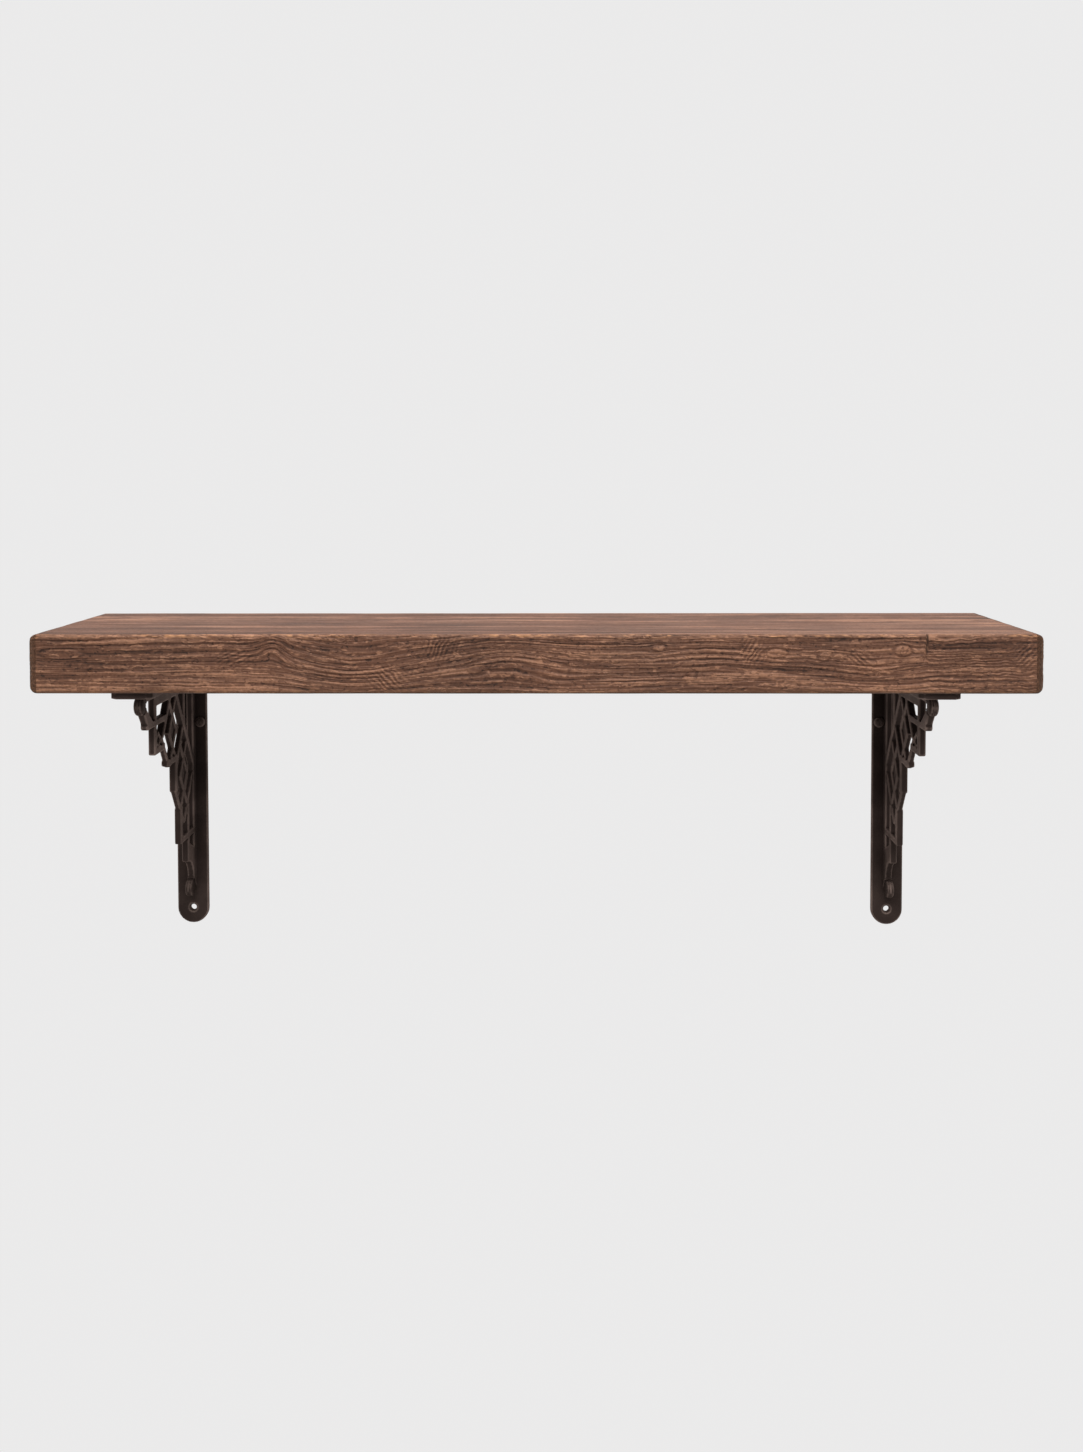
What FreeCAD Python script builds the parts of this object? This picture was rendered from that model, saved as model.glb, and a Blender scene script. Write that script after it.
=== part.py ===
import FreeCAD, Part
import math
import os
import re
import Sketcher
from FreeCAD import Placement, Rotation, Vector

# Bracket wall shelf: a thick plank screwed to two openwork cast-iron brackets.
# X runs along the wall, the wall is the plane Y = 0 with the shelf on its -Y side, and Z is up.
# The origin lies on the wall, midway between the brackets' lower screw holes.

# Driving sizes in millimetres. On a bracket, "out" is measured from the wall and "down" from the
# underside of the board.
SIZES = {
    # plank
    "board_length": 900,
    "board_depth": 225,
    "board_thickness": 53,
    "board_arris_radius": 4,
    # bracket plates
    "bracket_inset": 90,
    "wall_leg": 270,
    "wall_plate_width": 32,
    "wall_plate_thickness": 6,
    "shelf_leg": 218,
    "shelf_plate_width": 38,
    "shelf_plate_thickness": 6,
    "shelf_plate_clip": 5,
    # openwork web
    "web_thickness": 7,
    "bar_width": 6,
    "top_bar_depth": 16.5,
    "front_bar_depth": 8,
    "wall_bar_depth": 6.5,
    "trellis_thickness": 5,
    "trellis_bar_width": 5.5,
    "panel_thickness": 1.5,
    "lozenge_half_width": 40,
    "lozenge_half_height": 50,
    "inner_half_width": 13,
    "cell_half_height": 9,
    "cell_hole_half_height": 4.5,
    "outer_post_out": 149,
    "knee_post_out": 77.5,
    "lower_post_out": 60,
    "tail_post_out": 33,
    "middle_rail_down": 38,
    "step_rail_down": 65.5,
    "knee_rail_down": 84.5,
    "foot_rail_down": 171,
    "middle_lug_out": 174,
    "knee_lug_out": 106,
    "arm_head_width": 9,
    "arm_foot_width": 20,
    "tail_root_down": 192,
    "tail_rise": 14,
    "tail_foot_down": 221,
    "tail_cove_radius": 22,
    # rounded ends of the web
    "lobe_radius": 9,
    "lobe_thickness": 9,
    "front_lobe_out": 190,
    "front_lobe_down": 16,
    "foot_lobe_out": 17,
    "foot_lobe_down": 230,
    # wall screws and their holes
    "wall_screw_diameter": 5,
    "wall_screw_shank_length": 7,
    "wall_screw_thread_diameter": 4.4,
    "wall_screw_length": 19,
    "wall_screw_head_diameter": 11,
    "wall_screw_head_height": 4,
    "wall_screw_down": 59.5,
    "wall_screw_side": 9.2,
    "wall_hole_clearance": 0.5,
    # shelf screws and their holes
    "shelf_screw_diameter": 4.5,
    "shelf_screw_length": 40,
    "shelf_screw_head_diameter": 9,
    "shelf_screw_front_out": 206,
    "shelf_screw_rear_out": 48,
    "shelf_screw_side": 10.5,
    "shelf_hole_clearance": 0.25,
    "countersink_clearance": 0.3,
    "pilot_clearance": 0.1,
    "pilot_spare_depth": 1.5,
}

# Places worked out from the driving sizes.
# The trellis of the web is two lozenges that share a side: the upper has its top corner on the shelf
# plate, and the lower has its rear corner on the wall plate.
LAYOUT = {
    "half_bar": "bar_width / 2",
    "half_spacing": "board_length / 2 - bracket_inset",
    "half_wall_plate": "wall_plate_thickness / 2",
    "half_shelf_plate": "shelf_plate_thickness / 2",
    "hole_down": "wall_leg - wall_plate_width / 2",
    "slope": "lozenge_half_height / lozenge_half_width",
    "slant_half": "trellis_bar_width / 2 * sqrt(1 + 1 / slope ^ 2)",
    "upper_mid_out": "wall_plate_thickness + 2 * lozenge_half_width",
    "upper_mid_down": "shelf_plate_thickness + lozenge_half_height",
    "upper_front_out": "upper_mid_out + lozenge_half_width",
    "lower_mid_out": "wall_plate_thickness + lozenge_half_width",
    "lower_mid_down": "shelf_plate_thickness + 2 * lozenge_half_height",
    "lower_foot_down": "lower_mid_down + lozenge_half_height",
    "inner_half_height": "inner_half_width * slope",
    "cell_mid_out": "(outer_post_out + upper_front_out) / 2",
    "cell_half_width": "(outer_post_out - upper_front_out) / 2",
    "cell_hole_half_width": "cell_half_width * cell_hole_half_height / cell_half_height",
    "tie_out": "(lozenge_half_width - inner_half_width) / 2",
    "tie_down": "lozenge_half_height - tie_out * slope",
    "knee_end_out": "knee_post_out + half_bar - slant_half",
    "knee_top_down": "upper_mid_down + (knee_end_out - lower_mid_out) * slope",
    "knee_foot_down": "lower_foot_down - (knee_end_out - lower_mid_out) * slope",
    "knee_rail_out": "upper_front_out - (knee_rail_down - upper_mid_down) / slope",
    "middle_rail_out": "upper_mid_out + (middle_rail_down - shelf_plate_thickness) / slope",
    "step_rail_out": "upper_front_out - (step_rail_down - upper_mid_down) / slope",
    "tail_post_down": "lower_mid_down + (tail_post_out - wall_plate_thickness) * slope",
    "lower_post_down": "lower_foot_down - (lower_post_out - lower_mid_out) * slope",
    "tail_front_out": "tail_post_out + half_bar",
    "wall_hole_diameter": "wall_screw_diameter + 2 * wall_hole_clearance",
    "shelf_hole_diameter": "shelf_screw_diameter + 2 * shelf_hole_clearance",
    "countersink_diameter": "shelf_screw_head_diameter + 2 * countersink_clearance",
    "pilot_diameter": "shelf_screw_diameter + 2 * pilot_clearance",
    "pilot_depth": "shelf_screw_length - shelf_plate_thickness + pilot_spare_depth",
}

HALF_TURN = Rotation(Vector(0, 0, 1), 180)
UPSIDE_DOWN = Rotation(Vector(1, 0, 0), 180)
INTO_WALL = Rotation(Vector(1, 0, 0), -90)

doc = FreeCAD.newDocument("bracket_wall_shelf")


def fill_sheet(name, rows):
    """Make a sheet with one named cell a row: its name in column A and its content in column B."""
    sheet = doc.addObject("Spreadsheet::Sheet", name)
    for row, (alias, content) in enumerate(rows.items(), start=1):
        sheet.set(f"A{row}", alias)
        sheet.set(f"B{row}", content)
        sheet.setAlias(f"B{row}", alias)
    doc.recompute()
    return sheet


def bound(formula, layout_prefix="Layout."):
    """Return a formula in which each known name leads to the sheet that holds it."""
    def full_name(word):
        name = word.group()
        if name in SIZES:
            return f"Sizes.{name}"
        if name in LAYOUT:
            return f"{layout_prefix}{name}"
        return name
    return re.sub(r"[a-z_]+", full_name, formula)


fill_sheet("Sizes", {name: str(number) for name, number in SIZES.items()})
layout = fill_sheet("Layout", {name: "=" + bound(formula, "") for name, formula in LAYOUT.items()})


def amount(formula):
    """Work out a formula's number."""
    return float(layout.evalExpression(bound(formula)))


# Sketches


def new_sketch(body, name, plane_role, turn=Rotation(), shift="0"):
    """Attach a sketch to one of the body's own origin planes, turned, and shifted along the normal."""
    sketch = body.newObject("Sketcher::SketchObject", name)
    plane = next(item for item in body.Origin.OriginFeatures if item.Role == plane_role)
    sketch.AttachmentSupport = [(plane, "")]
    sketch.MapMode = "FlatFace"
    sketch.AttachmentOffset = Placement(Vector(0, 0, 0), turn)
    sketch.setExpression("AttachmentOffset.Base.z", bound(shift))
    return sketch


def drive(sketch, kind, formula, *where):
    """Add one driving dimension to a sketch and bind it to its formula."""
    index = sketch.addConstraint(Sketcher.Constraint(kind, *where, amount(formula)))
    sketch.setExpression(f"Constraints[{index}]", bound(formula))


def pin_point(sketch, edge, end, across, along):
    """Fix one end (1 start, 2 end, 3 centre) of an edge by its two distances from the origin."""
    for kind, formula, axis in (("DistanceX", across, -2), ("DistanceY", along, -1)):
        if amount(formula) > 0:
            drive(sketch, kind, formula, -1, 1, edge, end)
        elif amount(formula) < 0:
            drive(sketch, kind, f"-({formula})", edge, end, -1, 1)
        else:
            sketch.addConstraint(Sketcher.Constraint("PointOnObject", edge, end, axis))


def add_lines(sketch, points):
    """Draw straight edges from each point to the next and return their numbers."""
    return [sketch.addGeometry(Part.LineSegment(start, end)) for start, end in zip(points, points[1:])]


def close_loop(sketch, edges):
    """Join each edge's end to the start of the next one, all the way round."""
    for edge, after in zip(edges, edges[1:] + edges[:1]):
        sketch.addConstraint(Sketcher.Constraint("Coincident", edge, 2, after, 1))


def add_polygon(sketch, corners):
    """Draw a closed polygon whose corners are pairs of formulas."""
    points = [Vector(amount(across), amount(along), 0) for across, along in corners]
    edges = add_lines(sketch, points + points[:1])
    close_loop(sketch, edges)
    for edge, (across, along) in zip(edges, corners):
        pin_point(sketch, edge, 1, across, along)


def add_arc(sketch, centre, radius, start, end):
    """Draw an arc between two angles in degrees and return its number."""
    circle = Part.Circle(centre, Vector(0, 0, 1), radius)
    return sketch.addGeometry(Part.ArcOfCircle(circle, math.radians(start), math.radians(end)))


def add_circle(sketch, across, along, diameter):
    """Draw a circle from the formulas of its centre and diameter."""
    centre = Vector(amount(across), amount(along), 0)
    edge = sketch.addGeometry(Part.Circle(centre, Vector(0, 0, 1), amount(diameter) / 2))
    pin_point(sketch, edge, 3, across, along)
    drive(sketch, "Diameter", diameter, edge)


def place(part, across, depth, height, rotation=Rotation()):
    """Put a sub-part in the shelf's frame, with each coordinate bound to its formula."""
    part.Placement = Placement(Vector(0, 0, 0), rotation)
    for axis, formula in zip("xyz", (across, depth, height)):
        part.setExpression(f"Placement.Base.{axis}", bound(formula))


def pad(body, sketch, length, side="One side", backward=False):
    """Thicken a sketch."""
    feature = body.newObject("PartDesign::Pad", f"{sketch.Name}_pad")
    feature.Profile = (sketch, [""])
    feature.SideType = side
    feature.Reversed = backward
    feature.setExpression("Length", bound(length))
    return feature


def pocket(body, sketch, length, backward=False):
    """Cut a sketch into the body."""
    feature = body.newObject("PartDesign::Pocket", f"{sketch.Name}_pocket")
    feature.Profile = (sketch, [""])
    feature.Reversed = backward
    feature.setExpression("Length", bound(length))
    return feature


# Bracket


def add_wall_plate(body):
    """Pad the upright strap, which starts square at the bracket's corner and ends in a half round."""
    sketch = new_sketch(body, "wall_plate", "XZ_Plane", HALF_TURN)
    radius = amount("wall_plate_width") / 2
    centre = Vector(0, amount("hole_down"), 0)
    round_end = add_arc(sketch, centre, radius, 0, 180)
    left, square_end, right = add_lines(sketch, [
        Vector(-radius, centre.y, 0),
        Vector(-radius, 0, 0),
        Vector(radius, 0, 0),
        Vector(radius, centre.y, 0),
    ])
    close_loop(sketch, [round_end, left, square_end, right])
    sketch.addConstraint([
        Sketcher.Constraint("Vertical", left),
        Sketcher.Constraint("Vertical", right),
        Sketcher.Constraint("Horizontal", square_end),
        Sketcher.Constraint("PointOnObject", square_end, 1, -1),
        Sketcher.Constraint("PointOnObject", round_end, 3, -2),
        Sketcher.Constraint("Horizontal", round_end, 1, round_end, 3),
        Sketcher.Constraint("Horizontal", round_end, 2, round_end, 3),
    ])
    drive(sketch, "Radius", "wall_plate_width / 2", round_end)
    drive(sketch, "DistanceY", "hole_down", -1, 1, round_end, 3)
    pad(body, sketch, "wall_plate_thickness")


def add_shelf_plate(body):
    """Pad the level strap, which starts square at the bracket's corner and has two clipped front corners."""
    sketch = new_sketch(body, "shelf_plate", "XY_Plane", HALF_TURN)
    half, clipped = "shelf_plate_width / 2", "shelf_plate_width / 2 - shelf_plate_clip"
    add_polygon(sketch, [
        (f"- {half}", "0"),
        (half, "0"),
        (half, "shelf_leg - shelf_plate_clip"),
        (clipped, "shelf_leg"),
        (f"- ({clipped})", "shelf_leg"),
        (f"- {half}", "shelf_leg - shelf_plate_clip"),
    ])
    pad(body, sketch, "shelf_plate_thickness", backward=True)


def web_sketch(body, name):
    """Start a sketch on the web's middle plane, with out and down as its two directions."""
    return new_sketch(body, name, "YZ_Plane", HALF_TURN)


def add_members(body, name, outlines, thickness="web_thickness"):
    """Pad a set of straight-edged outlines of the web that don't cross; one inside another is its hole."""
    sketch = web_sketch(body, name)
    for corners in outlines:
        add_polygon(sketch, corners)
    pad(body, sketch, thickness, "Symmetric")


def block(start_out, end_out, top_down, foot_down):
    """Give the corners of an upright rectangle."""
    return [(start_out, top_down), (end_out, top_down), (end_out, foot_down), (start_out, foot_down)]


def post(out, top_down, foot_down):
    """Give the corners of an upright bar, centred on its distance from the wall."""
    return block(f"{out} - half_bar", f"{out} + half_bar", top_down, foot_down)


def rail(start_out, end_out, down):
    """Give the corners of a level bar, centred on its depth below the board."""
    return block(start_out, end_out, f"{down} - half_bar", f"{down} + half_bar")


def slant(start, end):
    """Give the corners of a sloping bar between two (out, down) points, with its ends cut level."""
    (start_out, start_down), (end_out, end_down) = start, end
    return [
        (f"{start_out} - slant_half", start_down),
        (f"{start_out} + slant_half", start_down),
        (f"{end_out} + slant_half", end_down),
        (f"{end_out} - slant_half", end_down),
    ]


def inner_ties(out, down, rising):
    """Give two parallel sides of a small lozenge, which run on to the sides of the large one round it."""
    rear_step, front_step = ("-", "+") if rising else ("+", "-")
    return [
        slant((f"{out} - inner_half_width", down), (f"{out} + tie_out", f"{down} {rear_step} tie_down")),
        slant((f"{out} + inner_half_width", down), (f"{out} - tie_out", f"{down} {front_step} tie_down")),
    ]


def lozenge(out, down, half_width, half_height):
    """Give the corners of an upright lozenge."""
    return [
        (f"{out} - {half_width}", down),
        (out, f"{down} - {half_height}"),
        (f"{out} + {half_width}", down),
        (out, f"{down} + {half_height}"),
    ]


def draw_lugged_rail(sketch, start_out, end_out, down):
    """Draw a level bar whose front end is a half round."""
    start, end, level = amount(start_out), amount(end_out), amount(down)
    half = amount("half_bar")
    lug = add_arc(sketch, Vector(end, level, 0), half, -90, 90)
    lower, back, upper = add_lines(sketch, [
        Vector(end, level + half, 0),
        Vector(start, level + half, 0),
        Vector(start, level - half, 0),
        Vector(end, level - half, 0),
    ])
    close_loop(sketch, [lug, lower, back, upper])
    sketch.addConstraint([
        Sketcher.Constraint("Horizontal", lower),
        Sketcher.Constraint("Horizontal", upper),
        Sketcher.Constraint("Vertical", back),
        Sketcher.Constraint("Vertical", lug, 1, lug, 3),
        Sketcher.Constraint("Vertical", lug, 2, lug, 3),
    ])
    pin_point(sketch, lug, 3, end_out, down)
    drive(sketch, "Radius", "half_bar", lug)
    drive(sketch, "DistanceX", start_out, -1, 1, back, 1)


def draw_tail(sketch):
    """Draw the tail that closes the web above its foot, with a quarter-round cove in front."""
    front, foot = amount("tail_front_out"), amount("tail_foot_down")
    rear, root = amount("half_wall_plate"), amount("tail_root_down")
    radius = amount("tail_cove_radius")
    cove = add_arc(sketch, Vector(front, foot, 0), radius, 180, 270)
    front_edge, top_edge, rear_edge, foot_edge = add_lines(sketch, [
        Vector(front, foot - radius, 0),
        Vector(front, root - amount("tail_rise"), 0),
        Vector(rear, root, 0),
        Vector(rear, foot, 0),
        Vector(front - radius, foot, 0),
    ])
    close_loop(sketch, [cove, front_edge, top_edge, rear_edge, foot_edge])
    sketch.addConstraint([
        Sketcher.Constraint("Vertical", cove, 2, cove, 3),
        Sketcher.Constraint("Horizontal", cove, 1, cove, 3),
        Sketcher.Constraint("Vertical", front_edge),
        Sketcher.Constraint("Vertical", rear_edge),
        Sketcher.Constraint("Horizontal", foot_edge),
    ])
    pin_point(sketch, cove, 3, "tail_front_out", "tail_foot_down")
    drive(sketch, "Radius", "tail_cove_radius", cove)
    drive(sketch, "DistanceY", "tail_root_down - tail_rise", -1, 1, top_edge, 1)
    pin_point(sketch, rear_edge, 1, "half_wall_plate", "tail_root_down")


def add_trellis(body):
    """Add the two large lozenges, the small closed ones inside them and the open one in front of them.

    The two slants that meet under the shelf plate are as thick as the web, and the rest are thinner.
    """
    top = ("upper_mid_out", "shelf_plate_thickness")
    front = ("upper_front_out", "upper_mid_down")
    shared = ("lower_mid_out", "upper_mid_down")
    rear = ("wall_plate_thickness", "lower_mid_down")
    foot = ("lower_mid_out", "lower_foot_down")
    knee_top = ("knee_end_out", "knee_top_down")
    knee_foot = ("knee_end_out", "knee_foot_down")
    knee_rail = ("knee_rail_out", "knee_rail_down")
    upper_middle = ("upper_mid_out", "upper_mid_down")
    lower_middle = ("lower_mid_out", "lower_mid_down")
    add_members(body, "top_falling_slant", [slant(top, rear)])
    add_members(body, "top_rising_slant", [slant(top, front)])
    falling = [slant(front, knee_rail), slant(knee_foot, foot)]
    rising = [slant(shared, knee_top), slant(rear, foot)]
    add_members(body, "falling_slants", falling, "trellis_thickness")
    add_members(body, "rising_slants", rising, "trellis_thickness")
    for name, climbs in (("rising_ties", True), ("falling_ties", False)):
        ties = inner_ties(*upper_middle, climbs) + inner_ties(*lower_middle, climbs)
        add_members(body, name, ties, "trellis_thickness")
    add_members(body, "panels", [
        lozenge(*upper_middle, "inner_half_width", "inner_half_height"),
        lozenge(*lower_middle, "inner_half_width", "inner_half_height"),
    ], "panel_thickness")
    add_members(body, "cell_lozenge", [
        lozenge("cell_mid_out", "upper_mid_down", "cell_half_width", "cell_half_height"),
        lozenge("cell_mid_out", "upper_mid_down", "cell_hole_half_width", "cell_hole_half_height"),
    ], "trellis_thickness")


def add_web(body):
    """Add the openwork web, from the two plates outwards."""
    front_foot = "shelf_plate_thickness + front_bar_depth"
    top_foot = "shelf_plate_thickness + top_bar_depth"
    wall_front = "wall_plate_thickness + wall_bar_depth"
    add_members(body, "root_bars", [[
        ("half_wall_plate", "half_shelf_plate"),
        ("front_lobe_out", "half_shelf_plate"),
        ("front_lobe_out", front_foot),
        ("outer_post_out", front_foot),
        ("outer_post_out", top_foot),
        (wall_front, top_foot),
        (wall_front, "foot_lobe_down"),
        ("half_wall_plate", "foot_lobe_down"),
    ]])
    add_trellis(body)
    add_members(body, "posts", [
        post("lower_mid_out", "half_shelf_plate", "upper_mid_down"),
        post("outer_post_out", "half_shelf_plate", "step_rail_down + half_bar"),
        post("knee_post_out", "knee_rail_down", "knee_foot_down"),
        post("lower_post_out", "lower_post_down", "foot_rail_down + half_bar"),
        post("tail_post_out", "tail_post_down", "tail_root_down"),
    ])
    add_members(body, "square_rails", [
        rail("step_rail_out", "outer_post_out", "step_rail_down"),
        rail("half_wall_plate", "lower_post_out", "foot_rail_down"),
    ])
    rounded = web_sketch(body, "rounded_members")
    draw_lugged_rail(rounded, "middle_rail_out", "middle_lug_out", "middle_rail_down")
    draw_lugged_rail(rounded, "knee_post_out - half_bar", "knee_lug_out", "knee_rail_down")
    draw_tail(rounded)
    pad(body, rounded, "web_thickness", "Symmetric")
    add_members(body, "arm", [[
        ("front_lobe_out - arm_head_width / 2", "front_lobe_down"),
        ("front_lobe_out + arm_head_width / 2", "front_lobe_down"),
        ("middle_lug_out", "middle_rail_down"),
        ("middle_lug_out - arm_foot_width", "middle_rail_down"),
    ]])
    lobes = web_sketch(body, "lobes")
    for end in ("front", "foot"):
        add_circle(lobes, f"{end}_lobe_out", f"{end}_lobe_down", "2 * lobe_radius")
    pad(body, lobes, "lobe_thickness", "Symmetric")


def countersunk_holes(body, sketch, diameter):
    """Drill each circle of a sketch right through and countersink its mouth at 90 degrees."""
    doc.recompute()
    hole = body.newObject("PartDesign::Hole", f"{sketch.Name}_hole")
    hole.Profile = (sketch, [""])
    hole.ThreadType = "None"
    hole.DepthType = "ThroughAll"
    hole.HoleCutType = "Countersink"
    hole.HoleCutCustomValues = True
    hole.HoleCutCountersinkAngle = 90
    hole.setExpression("Diameter", bound(diameter))
    hole.setExpression("HoleCutDiameter", bound("countersink_diameter"))


def add_bracket_holes(body):
    """Drill the two upper wall holes, the lower wall hole and the three shelf holes."""
    upper = new_sketch(body, "upper_wall_holes", "XZ_Plane", HALF_TURN)
    for side in ("-", "+"):
        add_circle(upper, f"{side} wall_screw_side", "wall_screw_down", "wall_hole_diameter")
    pocket(body, upper, "wall_plate_thickness", backward=True)

    lower = new_sketch(body, "lower_wall_hole", "XZ_Plane", HALF_TURN, "wall_plate_thickness")
    add_circle(lower, "0", "hole_down", "wall_hole_diameter")
    countersunk_holes(body, lower, "wall_hole_diameter")

    shelf = new_sketch(body, "shelf_holes", "XY_Plane", UPSIDE_DOWN, "- shelf_plate_thickness")
    add_circle(shelf, "0", "shelf_screw_front_out", "shelf_hole_diameter")
    for side in ("-", "+"):
        add_circle(shelf, f"{side} shelf_screw_side", "shelf_screw_rear_out", "shelf_hole_diameter")
    countersunk_holes(body, shelf, "shelf_hole_diameter")


def make_brackets():
    """Make the left bracket and mirror it across the middle of the shelf."""
    left = doc.addObject("PartDesign::Body", "bracket_left")
    add_wall_plate(left)
    add_shelf_plate(left)
    add_web(left)
    add_bracket_holes(left)
    place(left, "- half_spacing", "0", "hole_down")
    right = doc.addObject("Part::Mirroring", "bracket_right")
    right.Source = left
    right.Base = Vector(0, 0, 0)
    right.Normal = Vector(1, 0, 0)
    return [left, right]


# Plank


def make_board():
    """Make the plank with softened arrises, drilled from below for its six screws."""
    body = doc.addObject("PartDesign::Body", "shelf_board")
    outline = new_sketch(body, "plank", "XY_Plane", HALF_TURN)
    add_polygon(outline, [
        ("- board_length / 2", "0"),
        ("board_length / 2", "0"),
        ("board_length / 2", "board_depth"),
        ("- board_length / 2", "board_depth"),
    ])
    plank = pad(body, outline, "board_thickness")
    doc.recompute()
    arris = body.newObject("PartDesign::Fillet", "arris")
    arris.Base = (plank, [f"Edge{number}" for number in range(1, len(plank.Shape.Edges) + 1)])
    arris.setExpression("Radius", bound("board_arris_radius"))
    pilots = new_sketch(body, "pilot_holes", "XY_Plane", HALF_TURN)
    for bracket in ("-", "+"):
        middle = f"{bracket} half_spacing"
        add_circle(pilots, middle, "shelf_screw_front_out", "pilot_diameter")
        for side in ("-", "+"):
            add_circle(pilots, f"{middle} {side} shelf_screw_side", "shelf_screw_rear_out", "pilot_diameter")
    pocket(body, pilots, "pilot_depth", backward=True)
    place(body, "0", "0", "hole_down")
    return body


# Screws


def turn_profile(body, sketch):
    """Turn a half profile about the body's Z axis."""
    turned = body.newObject("PartDesign::Revolution", f"{sketch.Name}_turned")
    turned.Profile = (sketch, [""])
    turned.ReferenceAxis = (sketch, ["V_Axis"])
    turned.Angle = 360


def make_shelf_screw(label, across, out):
    """Make a countersunk wood screw, its flat head flush with the underside of the shelf plate."""
    body = doc.addObject("PartDesign::Body", label)
    head, shank = "shelf_screw_head_diameter", "shelf_screw_diameter"
    sketch = new_sketch(body, f"{label}_profile", "XZ_Plane")
    add_polygon(sketch, [
        ("0", "0"),
        (f"{head} / 2", "0"),
        (f"{shank} / 2", f"({head} - {shank}) / 2"),
        (f"{shank} / 2", "shelf_screw_length"),
        ("0", "shelf_screw_length"),
    ])
    turn_profile(body, sketch)
    place(body, across, f"- {out}", "hole_down - shelf_plate_thickness")
    return body


def make_wall_screw(label, across):
    """Make a wall screw, its head seated on the front of the wall plate."""
    body = doc.addObject("PartDesign::Body", label)
    shank, thread = "wall_screw_diameter", "wall_screw_thread_diameter"
    sketch = new_sketch(body, f"{label}_profile", "XZ_Plane")
    add_polygon(sketch, [
        ("0", "- wall_screw_head_height"),
        ("wall_screw_head_diameter / 2", "- wall_screw_head_height"),
        ("wall_screw_head_diameter / 2", "0"),
        (f"{shank} / 2", "0"),
        (f"{shank} / 2", "wall_screw_shank_length"),
        (f"{thread} / 2", "wall_screw_shank_length"),
        (f"{thread} / 2", "wall_screw_length"),
        ("0", "wall_screw_length"),
    ])
    turn_profile(body, sketch)
    place(body, across, "- wall_plate_thickness", "hole_down - wall_screw_down", INTO_WALL)
    return body


def make_screws():
    """Make each bracket's two wall screws and three shelf screws."""
    screws = []
    sides = (("left", "- half_spacing", "+", "-"), ("right", "half_spacing", "-", "+"))
    for hand, middle, inward, outward in sides:
        screws.append(make_shelf_screw(f"shelf_screw_{hand}_front", middle, "shelf_screw_front_out"))
        for where, side in (("inner", inward), ("outer", outward)):
            across = f"{middle} {side} shelf_screw_side"
            screws.append(make_shelf_screw(f"shelf_screw_{hand}_{where}", across, "shelf_screw_rear_out"))
            screws.append(make_wall_screw(f"wall_screw_{hand}_{where}", f"{middle} {side} wall_screw_side"))
    return screws


# Build


def check_document(parts):
    """Stop if a feature failed, a cut removed nothing or a sub-part is not one sound solid."""
    for item in doc.Objects:
        if "Invalid" in item.State or "Error" in item.State:
            raise RuntimeError(f"{item.Label} failed: {item.State}")
        if item.TypeId in ("PartDesign::Pocket", "PartDesign::Hole"):
            if item.Shape.Volume >= item.BaseFeature.Shape.Volume:
                raise RuntimeError(f"{item.Label} cuts nothing")
    for part in parts:
        if part.Shape.isNull() or not part.Shape.isValid() or len(part.Shape.Solids) != 1:
            raise RuntimeError(f"{part.Label} is not one valid solid")


parts = [make_board(), *make_brackets(), *make_screws()]
doc.recompute()
check_document(parts)
os.makedirs("parts", exist_ok=True)
for part in parts:
    part.Shape.exportStep(f"parts/{part.Label}.step")
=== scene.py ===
import math

import bmesh
import bpy
import numpy as np
from bpy.props import FloatProperty, FloatVectorProperty, IntProperty, PointerProperty
from mathutils import Euler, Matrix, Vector


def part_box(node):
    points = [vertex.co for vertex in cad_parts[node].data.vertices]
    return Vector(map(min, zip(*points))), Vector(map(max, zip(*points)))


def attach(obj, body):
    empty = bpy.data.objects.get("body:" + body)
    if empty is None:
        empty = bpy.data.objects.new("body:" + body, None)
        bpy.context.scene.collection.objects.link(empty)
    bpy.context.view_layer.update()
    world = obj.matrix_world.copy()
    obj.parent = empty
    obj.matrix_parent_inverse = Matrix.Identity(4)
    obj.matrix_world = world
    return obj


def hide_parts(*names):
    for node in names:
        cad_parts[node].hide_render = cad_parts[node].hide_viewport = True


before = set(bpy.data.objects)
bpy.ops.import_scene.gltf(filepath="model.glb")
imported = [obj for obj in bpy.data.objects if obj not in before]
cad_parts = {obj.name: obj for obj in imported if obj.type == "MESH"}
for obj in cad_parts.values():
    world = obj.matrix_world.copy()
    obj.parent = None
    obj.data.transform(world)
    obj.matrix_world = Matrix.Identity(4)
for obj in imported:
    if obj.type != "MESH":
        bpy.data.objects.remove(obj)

bl_info = {
    "name": "Bracket Wall Shelf",
    "version": (1, 0, 0),
    "blender": (4, 5, 0),
    "location": "View3D > Sidebar > Shelf",
    "description": "Dresses a plank shelf on two openwork iron brackets",
    "category": "Object",
}

BODY = "root"
BOARD_LOW, BOARD_HIGH = (np.array(corner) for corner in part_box("shelf_board"))
BRACKETS = ("bracket_left", "bracket_right")
WALL_SCREWS = tuple(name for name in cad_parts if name.startswith("wall_screw"))
SHELF_SCREWS = tuple(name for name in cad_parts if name.startswith("shelf_screw"))

# Distance at which points count as one: at a new surface's poles, in a copied solid, on a casting.
POLE_GAP = 1e-7
SOLID_GAP = 1e-6
CAST_GAP = 1e-5

# Places on the plank's front face are metres from its left end and metres above its underside.
# Each bend in the grain: place along, place up, half length, half height, rise of the lines.
GRAIN_BENDS = (
    (0.219, 0.041, 0.013, 0.014, 0.008),
    (0.288, 0.022, 0.052, 0.026, -0.012),
    (0.425, 0.030, 0.042, 0.020, 0.0085),
    (0.470, 0.012, 0.030, 0.009, -0.002),
    (0.610, 0.034, 0.040, 0.016, 0.004),
    (0.750, 0.022, 0.030, 0.014, -0.005),
    (0.852, 0.022, 0.040, 0.016, 0.001),
)
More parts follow.
